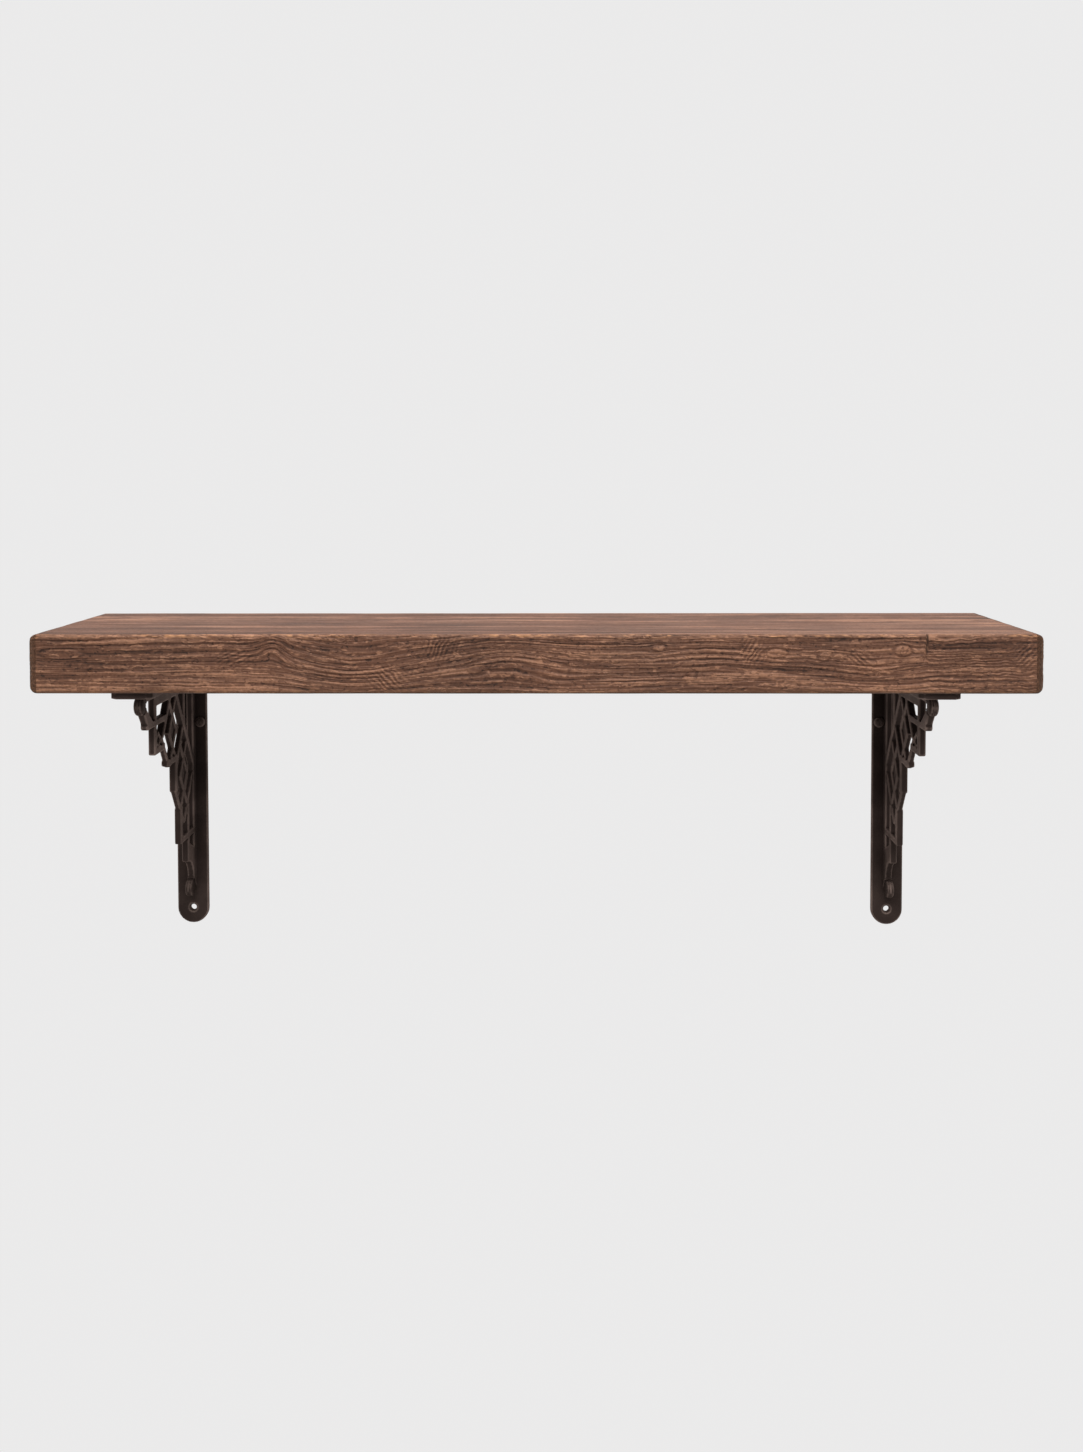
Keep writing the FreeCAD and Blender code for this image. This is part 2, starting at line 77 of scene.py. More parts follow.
# Each lens where the grain parts round a clear patch: place along, place up, half length, half height.
GRAIN_LENSES = (
    (0.031, 0.035, 0.024, 0.0058),
    (0.398, 0.021, 0.008, 0.0040),
    (0.560, 0.041, 0.008, 0.0040),
    (0.664, 0.036, 0.012, 0.0050),
    (0.706, 0.033, 0.007, 0.0050),
    (0.719, 0.032, 0.006, 0.0040),
    (0.775, 0.038, 0.009, 0.0060),
)
# Each patch of tool marks: place along, place up, half length, half height, slope of the marks in degrees.
TOOL_MARKS = (
    (0.183, 0.031, 0.015, 0.008, 27),
    (0.366, 0.041, 0.015, 0.009, 68),
    (0.320, 0.012, 0.014, 0.010, -42),
    (0.642, 0.037, 0.010, 0.010, 55),
    (0.738, 0.030, 0.009, 0.006, -38),
    (0.884, 0.034, 0.009, 0.011, 45),
)
# Each pinhole: place along, place up.
PINHOLES = ((0.410, 0.021), (0.055, 0.020), (0.561, 0.043), (0.703, 0.021), (0.585, 0.016), (0.842, 0.014))
PINHOLE_DEPTH = 0.0018
PINHOLE_RADIUS = 0.0013

# How far back from the front face the marks, the ring figure and the bends of the grain reach.
MARK_REACH = 0.003
FIGURE_REACH = 0.012
BEND_REACH = 0.030
# Pith of the tree, back from the front face and up from the underside of the plank.
PITH_BACK = 0.165
PITH_UP = -0.100
# How strongly a lens draws the lines in, and how far the waves round the rings are squeezed on an end.
LENS_DRAW = 0.8
END_SQUEEZE = 0.92
# Pitch of the rings in a bend, how many radians they drift, and the same for the strokes of a tool.
RING_PITCH = 0.0027
RING_DRIFT = 2.6
STROKE_PITCH = 0.0036
STROKE_WAVER = 2.2
# Cross break in the grain: half its width, how far it wavers and the lengths back and up and the seed of
# that, how far the lines ripple past it, their step there and the heights between which the step fades.
BREAK_HALF = 0.0009
BREAK_WAVER = 0.0016
BREAK_LENGTHS = (0.03, 0.007)
BREAK_SEED = 9
BREAK_RIPPLE = 0.0011
BREAK_STEP = 0.006
BREAK_FADE = (0.020, 0.044)
# Dark lines: half the width of each, the inset of the right one, the heights that the crack fades between.
# The lower line is painted shade under the plank's bottom arris.
LOWER_SHADE = 0.0018
LEFT_LINE = 0.0016
RIGHT_LINE = 0.0009
RIGHT_INSET = 0.0037
CRACK_LINE = 0.0011
CRACK_FADE = (0.030, 0.040)
# Reach of the worn strip, its chips and its painted highlight round a long front arris, and of the painted
# highlight round an upright one.
ARRIS_REACH = 0.008
CORNER_REACH = 0.006

# Each noise laid over the plank: its length along, back and up in metres, and its seed.
PLACE_NOISES = {
    "wander": ((0.16, 0.08, 0.035), 3),
    "sway": ((0.045, 0.04, 0.012), 5),
    "tremble": ((0.0075, 0.02, 0.005), 6),
    "ripple": ((0.0065, 0.02, 0.006), 7),
    "lumps": ((0.0046, 0.0024, 0.0024), 17),
    "gouges": ((0.05, 0.03, 0.03), 19),
    "specks": ((0.0048, 0.0012, 0.0012), 29),
    "waver": ((0.006, 0.006, 0.006), 33),
}
# How far each noise moves the lines of the grain, in metres.
GRAIN_WANDER = {"wander": 0.0022, "sway": 0.0005, "tremble": 0.0004}
# Each noise that follows the grain: its waves along and across to a metre and round to a radian, its seed.
GRAIN_NOISES = {
    "coarse": ((5, 300, 4), 11),
    "fine": ((13, 560, 4), 13),
    "breaks": ((17, 210, 4), 15),
    "swell": ((6, 150, 4), 23),
    "drift": ((7, 110, 4), 31),
}

# Brackets: half the thickness of a lobe, the share of its radius where it ends, the least cube of the share
# of its thickness there, and the countersink's mouth in the foot with half the width of the painted
# highlight on its rim.
LOBE_HALF = 0.0045
LOBE_EDGE = 1.02
LOBE_RIM = 0.02
MOUTH_RADIUS = 0.0046
MOUTH_RIM = 0.0008
# Depths out from the wall that pick the foot's front face and the whole wall plate.
FOOT_FACE = -0.003
PLATE_FACE = -0.0075
# Half width of the painted shade on the wall plate beside the web.
WEB_SHADE_HALF = 0.011

# Rows of points on a screw's head, and the sizes that the frame doesn't give: dome, plain shank, thread.
HEAD_ROWS = 22
DOME_HEIGHT = 0.004
WALL_SHANK_LENGTH = 0.007
WALL_SHANK_RADIUS = 0.0025
WALL_THREAD_RADIUS = 0.0022
SHELF_SHANK_LENGTH = 0.012
SHELF_SHANK_RADIUS = 0.0022
SHELF_THREAD_RADIUS = 0.0022
# Width of the slot's eased edge, and the step from head to shank and from shank to thread.
SLOT_EASE = 0.0002
SHANK_STEP = 0.0002


class BoardSettings(bpy.types.PropertyGroup):
    """Shape and finish of the plank."""

    arris_radius: FloatProperty(
        name="Arris radius", description="Rounding of the plank's long edges",
        default=0.0030, unit="LENGTH")
    end_radius: FloatProperty(
        name="End radius", description="Rounding of the edges round each end of the plank, at its front",
        default=0.0078, unit="LENGTH")
    rear_radius: FloatProperty(
        name="Rear radius", description="Rounding of the edges round each end of the plank, at the wall",
        default=0.0020, unit="LENGTH")
    # Also the width of the painted highlight along the arrises.
    worn_width: FloatProperty(
        name="Worn width", description="Width of the rubbed and chipped strip on an arris",
        default=0.0042, unit="LENGTH")
    station_pitch: FloatProperty(
        name="Station pitch", description="Distance between sections along the plank",
        default=0.0016, unit="LENGTH")
    front_columns: IntProperty(
        name="Front columns", description="Lines of points up the front of the plank", default=88, min=8)
    groove_depth: FloatProperty(
        name="Groove depth", description="Depth of the brushed grooves on the edges of the plank",
        default=0.0009, unit="LENGTH")
    chip_depth: FloatProperty(
        name="Chip depth", description="Depth of the chips along the front arris",
        default=0.0016, unit="LENGTH")
    break_place: FloatProperty(
        name="Grain break", description="Place of the cross break in the grain, from the left end",
        default=0.796, unit="LENGTH")
    valley_colour: FloatVectorProperty(
        name="Valley", description="Stain left in the grooves of the grain",
        default=(0.0270, 0.0108, 0.0058), size=3, subtype="COLOR")
    wood_colour: FloatVectorProperty(
        name="Wood", description="Stained wood between the ridges",
        default=(0.124, 0.0512, 0.0270), size=3, subtype="COLOR")
    ridge_colour: FloatVectorProperty(
        name="Ridge", description="Rubbed crest of the grain ridges",
        default=(0.302, 0.144, 0.0795), size=3, subtype="COLOR")
    # Paler wood on the arrises: rubbed through on the upper front arris with a painted highlight there, and
    # a painted highlight on the lower arris and the upright corners.
    worn_and_lit_colour: FloatVectorProperty(
        name="Worn arris", description="Paler wood where an arris is rubbed through",
        default=(0.430, 0.206, 0.096), size=3, subtype="COLOR")


class BracketSettings(bpy.types.PropertyGroup):
    """Shape and finish of the iron brackets."""

    grain_size: FloatProperty(
        name="Casting grain", description="Cell of the mesh that rounds the casting's edges",
        default=0.00090, unit="LENGTH")
    fettling: IntProperty(
        name="Fettling", description="Passes that smooth the casting's edges", default=1, min=0)
    lobe_radius: FloatProperty(
        name="Lobe radius", description="Radius of the round ends of the web", default=0.009, unit="LENGTH")
    front_lobe: FloatVectorProperty(
        name="Front lobe", description="Middle of the lobe under the shelf plate: out from the wall, and up",
        default=(-0.190, 0.238), size=2, unit="LENGTH")
    foot_lobe: FloatVectorProperty(
        name="Foot lobe", description="Middle of the lobe above the lower hole: out from the wall, and up",
        default=(-0.017, 0.024), size=2, unit="LENGTH")
    iron_colour: FloatVectorProperty(
        name="Iron", description="Brown-black finish of the casting",
        default=(0.0430, 0.0300, 0.0260), size=3, subtype="COLOR")
    # Paler brown painted on edges, lobe crowns, raised faces and the foot's rim as a highlight.
    highlight_colour: FloatVectorProperty(
        name="Rubbed iron", description="Paler brown where the finish is rubbed on edges",
        default=(0.1750, 0.1280, 0.1100), size=3, subtype="COLOR")


class ScrewSettings(bpy.types.PropertyGroup):
    """Shape and finish of the screws."""

    sides: IntProperty(
        name="Sides", description="Steps round a screw", default=64, min=16)
    thread_pitch: FloatProperty(
        name="Thread pitch", description="Rise of the thread in one turn",
        default=0.0022, unit="LENGTH")
    thread_depth: FloatProperty(
        name="Thread depth", description="Depth of the thread below its crest",
        default=0.0007, unit="LENGTH")
    point_length: FloatProperty(
        name="Point length", description="Length of the tapered point",
        default=0.007, unit="LENGTH")
    slot_width: FloatProperty(
        name="Slot width", description="Width of the screwdriver slot",
        default=0.0014, unit="LENGTH")
    slot_depth: FloatProperty(
        name="Slot depth", description="Depth of the screwdriver slot",
        default=0.0012, unit="LENGTH")
    black_colour: FloatVectorProperty(
        name="Blackened steel", description="Finish of the wall screws",
        default=(0.0620, 0.0440, 0.0375), size=3, subtype="COLOR")
    # Paler brown painted on the rim of the wall screws' heads as a highlight.
    rim_highlight_colour: FloatVectorProperty(
        name="Rubbed rim", description="Rubbed rim of the wall screws' heads",
        default=(0.1900, 0.1400, 0.1200), size=3, subtype="COLOR")
    zinc_colour: FloatVectorProperty(
        name="Zinc", description="Plating of the shelf screws",
        default=(0.440, 0.430, 0.405), size=3, subtype="COLOR")
    dull_colour: FloatVectorProperty(
        name="Dulled zinc", description="Plating that has dulled in patches",
        default=(0.300, 0.295, 0.285), size=3, subtype="COLOR")


class StageSettings(bpy.types.PropertyGroup):
    """Camera, light and backdrop."""

    camera_place: FloatVectorProperty(
        name="Camera place", description="Where the camera stands",
        default=(0.0274, -1.5250, 0.4360), size=3, subtype="XYZ", unit="LENGTH")
    camera_pitch: FloatProperty(
        name="Camera pitch", description="Downward tilt of the camera",
        default=math.radians(2.4), subtype="ANGLE")
    camera_yaw: FloatProperty(
        name="Camera yaw", description="Turn of the camera to the left",
        default=math.radians(0.897), subtype="ANGLE")
    camera_roll: FloatProperty(
        name="Camera roll", description="Clockwise lean of the camera",
        default=math.radians(0.103), subtype="ANGLE")
    focal_pixels: FloatProperty(
        name="Focal length", description="Focal length in pixels of the picture", default=1479.0)
    axis_row: FloatProperty(
        name="Axis row", description="Picture row that the camera's axis passes through", default=550.0)
    picture_height: FloatProperty(
        name="Picture height", description="Rows in the picture", default=1452.0)
    backdrop_colour: FloatVectorProperty(
        name="Backdrop", description="Pale grey of the backdrop and the floor",
        default=(0.829, 0.825, 0.825), size=3, subtype="COLOR")
    ambient_level: FloatProperty(
        name="Ambient level", description="Strength of the even light from all round", default=0.20)
    key_power: FloatProperty(
        name="Key power", description="Power of the soft light in front of the shelf",
        default=62.0, unit="POWER")
    key_place: FloatVectorProperty(
        name="Key place", description="Middle of the soft light in front of the shelf",
        default=(0.15, -2.2, 1.9), size=3, subtype="XYZ", unit="LENGTH")
    key_size: FloatVectorProperty(
        name="Key size", description="Width and height of the soft light in front of the shelf",
        default=(2.4, 1.2), size=2, unit="LENGTH")
    top_power: FloatProperty(
        name="Top power", description="Power of the soft light above the shelf",
        default=31.0, unit="POWER")
    top_place: FloatVectorProperty(
        name="Top place", description="Middle of the soft light above the shelf",
        default=(0.0, -0.1, 1.9), size=3, subtype="XYZ", unit="LENGTH")
    top_size: FloatVectorProperty(
        name="Top size", description="Width and height of the soft light above the shelf",
        default=(2.0, 1.0), size=2, unit="LENGTH")
    floor_drop: FloatProperty(
        name="Floor drop", description="How far the floor lies below the wall holes",
        default=1.1, unit="LENGTH")
    floor_half: FloatProperty(
        name="Floor half", description="Half the side of the square floor",
        default=6.0, unit="LENGTH")


# Numpy surfaces


def lattice_noise(points, seed):
    """Smooth random field from -1 to 1.

    Each whole-number lattice corner gets a hashed value, and a point blends its eight corners by a cubic
    ease.
    """
    cell = np.floor(points).astype(np.int64)
    part = points - cell
    ease = part * part * (3 - 2 * part)
    total = np.zeros(points.shape[:-1])
    for corner in np.ndindex(2, 2, 2):
        key = (cell + corner) @ np.array([374761393, 668265263, 974634777]) + seed * 144269504
        key = (key ^ (key >> 13)) * 1274126177
        value = ((key ^ (key >> 16)) & 0xFFFF) / 0x8000 - 1
        total += value * np.prod(np.where(corner, ease, 1 - ease), axis=-1)
    return total


def place_noise(points, name):
    """Noise over the plank by its name, a place being a share of the noise's lengths."""
    lengths, seed = PLACE_NOISES[name]
    return lattice_noise(points / np.array(lengths), seed)


def grain_noise(grain, name):
    """Noise along the grain by its name, its waves counted in the grain's coordinates."""
    waves, seed = GRAIN_NOISES[name]
    return lattice_noise(grain * np.array(waves), seed)


def ease_step(low, high, value):
    """Rise from 0 at low to 1 at high along a cubic ease."""
    part = np.clip((value - low) / (high - low), 0, 1)
    return part * part * (3 - 2 * part)


def groove(noise, width):
    """Turn noise into grooves, 1 along its zero lines and 0 from a width of noise on."""
    return 1 - ease_step(0, width, np.abs(noise))


def bell(offset, half_width):
    """Fall from 1 to about a third at the half width, as exp(-(offset / half width) squared)."""
    return np.exp(-(offset / half_width) ** 2)


def grid_mesh(name, points):
    """Make a mesh from rows of points that each close into a ring, with a quad between four neighbours."""
    rows, columns = points.shape[:2]
    index = np.arange(rows * columns).reshape(rows, columns)
    after = np.roll(index, -1, axis=1)
    quads = np.stack([index[:-1], after[:-1], after[1:], index[1:]], axis=-1).reshape(-1, 4)
    mesh = bpy.data.meshes.new(name)
    mesh.vertices.add(rows * columns)
    mesh.vertices.foreach_set("co", points.astype(np.float32).ravel())
    mesh.loops.add(quads.size)
    mesh.loops.foreach_set("vertex_index", quads.astype(np.int32).ravel())
    mesh.polygons.add(len(quads))
    mesh.polygons.foreach_set("loop_start", np.arange(0, quads.size, 4, dtype=np.int32))
    mesh.update(calc_edges=True)
    return mesh


def store_field(mesh, name, values):
    """Keep a per-point number or vector on a mesh for its material."""
    kind = "FLOAT_VECTOR" if values.ndim == 3 else "FLOAT"
    field = mesh.attributes.new(name, kind, "POINT")
    field.data.foreach_set("vector" if values.ndim == 3 else "value", values.astype(np.float32).ravel())


def weld(mesh, distance):
    """Merge the points of a mesh that lie together."""
    shape = bmesh.new()
    shape.from_mesh(mesh)
    bmesh.ops.remove_doubles(shape, verts=shape.verts, dist=distance)
    shape.to_mesh(mesh)
    shape.free()


def add_piece(name, mesh, node, material):
    """Put a finished mesh into the scene in place of a CAD node."""
    mesh.polygons.foreach_set("use_smooth", np.full(len(mesh.polygons), True))
    mesh.materials.clear()
    mesh.materials.append(material)
    piece = bpy.data.objects.new(name, mesh)
    bpy.context.collection.objects.link(piece)
    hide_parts(node)
    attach(piece, BODY)


def add_surface(name, points, fields, node, material):
    """Make a piece from rings of points and the fields that its material reads, with its poles welded."""
    mesh = grid_mesh(name, points)
    for field, values in fields.items():
        store_field(mesh, field, values)
    weld(mesh, POLE_GAP)
    add_piece(name, mesh, node, material)


# Materials


class Nodes:
    """Node tree of a material or a world, with short ways to add nodes and join them."""

    def __init__(self, owner):
        owner.use_nodes = True
        self.nodes = owner.node_tree.nodes
        self.links = owner.node_tree.links
        self.nodes.clear()

    def add(self, kind, inputs, **settings):
        """Add a node with its settings, and link each input to an output or set its constant."""
        node = self.nodes.new(kind)
        for name, value in settings.items():
            setattr(node, name, value)
        for key, source in inputs.items():
            if isinstance(source, bpy.types.NodeSocket):
                self.links.new(source, node.inputs[key])
            else:
                node.inputs[key].default_value = source
        return node.outputs

    def attribute(self, name, output="Fac"):
        """Read a field kept on the mesh."""
        return self.add("ShaderNodeAttribute", {}, attribute_name=name)[output]

    def place(self):
        """Read the place on the object in metres."""
        return self.add("ShaderNodeTexCoord", {})["Object"]

    def noise(self, vector, waves, detail, roughness=0.5, distortion=0.0):
        """Cloudy noise from 0 to 1, with its waves to each unit of the vector's three numbers."""
        stretched = self.add("ShaderNodeMapping", {"Vector": vector, "Scale": waves})["Vector"]
        return self.add("ShaderNodeTexNoise", {
            "Vector": stretched, "Scale": 1.0,
            "Detail": detail, "Roughness": roughness, "Distortion": distortion,
        })["Fac"]

    def math(self, operation, *numbers, **settings):
        """Combine numbers."""
        return self.add("ShaderNodeMath", dict(enumerate(numbers)), operation=operation, **settings)["Value"]

    def layered(self, base, layers):
        """Add numbers to a base, each times its weight."""
        for value, weight in layers:
            base = self.math("MULTIPLY_ADD", value, weight, base)
        return base

    def spread(self, value, low, high, to_low=0.0, to_high=1.0):
        """Map a range onto another one along a cubic ease, held at its ends."""
        return self.add("ShaderNodeMapRange", {
            "Value": value, "From Min": low, "From Max": high, "To Min": to_low, "To Max": to_high,
        }, interpolation_type="SMOOTHSTEP")["Result"]

    def vary(self, noise, to_low=0.0, to_high=1.0):
        """Map the range that most of a noise lies in onto another one."""
        return self.spread(noise, 0.3, 0.7, to_low, to_high)

    def crest(self, noise, sharpness):
        """Turn noise from 0 to 1 into thin crests along its middle value."""
        offset = self.math("ABSOLUTE", self.math("SUBTRACT", noise, 0.5))
        return self.math("MULTIPLY_ADD", offset, -sharpness, 1.0, use_clamp=True)

    def blend(self, share, first, second):
        """Mix two colours by a share."""
        return self.add("ShaderNodeMix", {"Factor": share, 6: first, 7: second}, data_type="RGBA")[2]

    def shade(self, colour, value):
        """Make a colour darker or paler by a number."""
        return self.add("ShaderNodeHueSaturation", {"Color": colour, "Value": value})["Color"]

    def bump(self, height, distance):
        """Turn a height into a bumped normal."""
        return self.add("ShaderNodeBump", {"Height": height, "Distance": distance})["Normal"]

    def surface(self, inputs):
        """Close a material's tree with its shader."""
        shader = self.add("ShaderNodeBsdfPrincipled", inputs)
        self.add("ShaderNodeOutputMaterial", {"Surface": shader["BSDF"]})


def opaque(colour):
    """Add full opacity to a colour."""
    return (*colour, 1.0)


def even(waves):
    """Waves of a noise that are the same along each axis."""
    return (waves, waves, waves)


def wood_material(settings):
    """Brown stain on brushed softwood: dark grooves, rubbed ridges, short pores, worn arrises with painted
    highlights, and painted shade along the lower edge.

    A height adds up the lines, cuts, torn fibres and marks of the surface, and painted light and shade on
    the slopes of the grooves. It picks the colour from valley to ridge, and a finer sum of the same patterns
    bumps the surface.
    """
    material = bpy.data.materials.new("stained_wood")
    paint = Nodes(material)
    place = paint.place()
    grain = paint.attribute("grain", "Vector")
    strokes = paint.add("ShaderNodeSeparateXYZ", {"Vector": paint.attribute("strokes", "Vector")})
    front = strokes["Z"]
    marks = paint.math("MULTIPLY", paint.math("SINE", strokes["X"]), strokes["Y"])

    lines = paint.crest(paint.noise(grain, (4, 320, 20), 2.0), 8.0)
    cuts = paint.crest(paint.noise(grain, (9, 400, 20), 1.0), 11.0)
    streaks = paint.noise(grain, (2, 170, 20), 3.0, roughness=0.6)
    fibres = paint.noise(grain, (26, 1700, 60), 2.0, roughness=0.6)
    pores = paint.noise(grain, (220, 640, 60), 1.0)
    ticks = paint.noise(grain, (300, 460, 60), 2.0)
    splinters = paint.noise(grain, (120, 520, 60), 1.0)
    speckle = paint.noise(place, even(520), 2.0)
    clouds = paint.noise(place, even(11), 3.0)
    bands = paint.noise(place, (1.2, 48, 48), 3.0)
    curls = paint.crest(paint.noise(grain, (105, 330, 60), 0.0, distortion=0.9), 9.0)
    patches = paint.spread(paint.noise(grain, (38, 110, 60), 1.0), 0.56, 0.66)
    curls = paint.math("MULTIPLY", paint.math("MULTIPLY", curls, patches), front)

    smooth = paint.spread(front, 0.0, 1.0, 1.0, 0.0)
    torn = paint.spread(front, 0.0, 1.0, 0.3, 1.0)
    height = paint.layered(paint.vary(streaks, 0.42, 0.58), (
        (lines, 0.32),
        (curls, 0.34),
        (paint.vary(bands, -0.2, 0.2), smooth),
        (paint.vary(fibres, -0.08, 0.10), 1.0),
        (paint.vary(ticks, -0.06, 0.06), 1.0),
        # Painted light and shade: where the pressed-in surface faces up it is paler, where it faces down
        # darker.
        (paint.attribute("slope_light"), 0.30),
        (marks, 0.30),
        (paint.attribute("grooves"), -0.26),
        (cuts, -0.26),
        (paint.spread(splinters, 0.60, 0.68, 0.0, 0.34), torn),
        (paint.spread(pores, 0.60, 0.68, 0.0, -0.30), torn),
    ))
    relief = paint.layered(0.0, (
        (lines, 0.5),
        (fibres, 0.5),
        (speckle, 0.12),
        (paint.spread(pores, 0.60, 0.70, 0.0, -0.25), 1.0),
        (cuts, -0.4),
        (marks, 0.4),
        (curls, 0.5),
    ))
    stain = paint.spread(height, -0.15, 0.50)
    colour = paint.blend(stain, opaque(settings.valley_colour), opaque(settings.wood_colour))
    colour = paint.blend(paint.spread(height, 0.46, 0.96), colour, opaque(settings.ridge_colour))
    # Worn arrises, with a painted highlight along both front arrises and the upright corners.
    colour = paint.blend(paint.attribute("wear_and_highlight"), colour, opaque(settings.worn_and_lit_colour))
    mottle = paint.math("MULTIPLY", paint.vary(clouds, 0.86, 1.14), paint.vary(speckle, 0.88, 1.12))
    paint.surface({
        # Darkened by painted shade along the lower edge, dark lines at the ends and the cross crack.
        "Base Color": paint.shade(colour, paint.math("MULTIPLY", mottle, paint.attribute("dark_lines_and_shade"))),
        "Roughness": paint.spread(height, 0.0, 0.8, 0.76, 0.58),
        "Specular IOR Level": 0.35,
        "Normal": paint.bump(relief, 0.0007),
    })
    return material


def iron_material(name, body_colour, highlight_colour):
    """Satin brown-black finish on a sand casting: fine pitting, cloudy patches, and highlight and shade
    painted in from a field on the mesh.
    """
    material = bpy.data.materials.new(name)
    paint = Nodes(material)
    place = paint.place()
    sand = paint.noise(place, even(620), 3.0, roughness=0.6)
    clouds = paint.noise(place, even(38), 3.0)
    # Painted light on the mesh: above 0 a painted highlight, below 0 painted shade.
    painted_light = paint.attribute("painted_light")
    highlight_share = paint.math("MULTIPLY", paint.spread(painted_light, 0.0, 1.0), paint.spread(clouds, 0.25, 0.75, 0.6, 1.0))
    colour = paint.blend(highlight_share, opaque(body_colour), opaque(highlight_colour))
    # Painted shade darkens the colour down to 0.35 of itself.
    painted_shade = paint.spread(painted_light, -1.0, 0.0, 0.35, 1.0)
    paint.surface({
        "Base Color": paint.shade(colour, paint.math("MULTIPLY", paint.vary(clouds, 0.78, 1.22), painted_shade)),
        "Roughness": paint.vary(sand, 0.50, 0.66),
        "Metallic": 0.35,
        "IOR": 1.15,
        "Specular Tint": (0.85, 0.62, 0.52, 1.0),
        "Normal": paint.bump(sand, 0.00018),
    })
    return material


def zinc_material(settings):
    """Dull plated steel with faint draw marks."""
    material = bpy.data.materials.new("zinc_plate")
    paint = Nodes(material)
    place = paint.place()
    streaks = paint.noise(place, even(420), 2.0)
    dull = paint.noise(place, even(160), 3.0)
    colour = paint.blend(paint.vary(dull), opaque(settings.dull_colour), opaque(settings.zinc_colour))
    paint.surface({
        "Base Color": colour,
        "Roughness": paint.vary(streaks, 0.32, 0.50),
        "Metallic": 1.0,
        "Normal": paint.bump(streaks, 0.00005),
    })
    return material


# Plank


def place_on(points):
    """Metres along the plank from its left end, back from its front and up from its underside."""
    return np.moveaxis(points - BOARD_LOW, -1, 0)


def board_section(radius, front_columns):
    """Rounded rectangle round the plank: points of its inner rectangle and the outward directions there.

    The ring runs up the front, back over the top, down the rear and forward underneath. Each side is a
    straight stretch, whose steps widen as a power of their number, and each corner a quarter turn of the
    direction about one corner of the inner rectangle.
    """
    top_columns, rear_columns, under_columns, turn_columns = 40, 8, 12, 5
    even_steps, widening_steps = 1.0, 1.35
    near, low = BOARD_LOW[1] + radius, BOARD_LOW[2] + radius
    far, high = BOARD_HIGH[1] - radius, BOARD_HIGH[2] - radius
    turn = np.linspace(0, np.pi / 2, turn_columns, endpoint=False)
    sides = (
        ((near, low), (near, high), front_columns, even_steps, np.pi),
        ((near, high), (far, high), top_columns, widening_steps, np.pi / 2),
        ((far, high), (far, low), rear_columns, even_steps, 0.0),
        ((far, low), (near, low), under_columns, even_steps, -np.pi / 2),
    )
    places, angles = [], []
    for start, end, count, power, angle in sides:
        part = ((np.arange(count) / count) ** power)[:, None]
        places += [np.array(start) * (1 - part) + np.array(end) * part, np.tile(end, (turn_columns, 1))]
        angles += [np.full(count, angle), angle - turn]
    angles = np.concatenate(angles)
    return np.concatenate(places), np.stack([np.cos(angles), np.sin(angles)], axis=-1)


def board_stations(count):
    """Sections along the plank from its right end: share of the length, shrink to the middle, end turn.

    A flat end shrinks the section to its middle, a quarter turn then rounds the end's edge, and equal steps
    run to the other end, where the same stations follow in reverse.
    """
    cap_rows, turn_rows = 10, 6
    turn = np.linspace(np.pi / 2, 0, turn_rows, endpoint=False)
    cap = np.linspace(1, 0, cap_rows, endpoint=False)
    end_turn = np.concatenate([np.full(cap_rows, np.pi / 2), turn])
    end_shrink = np.concatenate([cap, np.zeros(turn_rows)])
    share = np.concatenate([np.zeros(len(end_turn)), np.linspace(0, 1, count), np.ones(len(end_turn))])
    tilt = np.concatenate([-end_turn, np.zeros(count), end_turn[::-1]])
    shrink = np.concatenate([end_shrink, np.zeros(count), end_shrink[::-1]])
    return share[::-1], shrink[::-1], tilt[::-1]


def board_surface(settings):
    """Lay the plank's section along its stations, as points and the directions that they face.

    Over an end's quarter turn the section draws in as one less the cosine and moves out as the sine, both
    times the end's radius, which grows evenly from the wall to the front.
    """
    radius = settings.arris_radius
    inner, outward = board_section(radius, settings.front_columns)
    length = BOARD_HIGH[0] - BOARD_LOW[0]
    count = int((length - 2 * settings.end_radius) / settings.station_pitch) + 1
    share, shrink, tilt = board_stations(count)
    middle = (BOARD_LOW[1:] + BOARD_HIGH[1:]) / 2
    half = (BOARD_HIGH[1:] - BOARD_LOW[1:]) / 2
    front = (inner[:, 0].max() - inner[:, 0]) / np.ptp(inner[:, 0])
    end_radius = settings.rear_radius + (settings.end_radius - settings.rear_radius) * front
    along = BOARD_LOW[0] + end_radius * (1 + np.sin(tilt)[:, None])
    along = along + (length - 2 * end_radius) * share[:, None]
    fullness = np.cos(tilt)[:, None, None]
    reach = half - end_radius[:, None] * (1 - fullness) - radius * fullness
    section = middle + (inner - middle) * reach / (half - radius) * (1 - shrink[:, None, None])
    section = section + radius * fullness * outward
    endward = np.broadcast_to(np.sin(tilt)[:, None, None], (*along.shape, 1))
    facing = np.concatenate([endward, fullness * outward], axis=-1)
    return np.concatenate([along[..., None], section], axis=-1), facing


def patch_share(along, up, patch):
    """Nearness to a patch on the plank's front: a bell along it times a bell up it."""
    place, height, half_length, half_height = patch[:4]
    return bell(along - place, half_length) * bell(up - height, half_height)


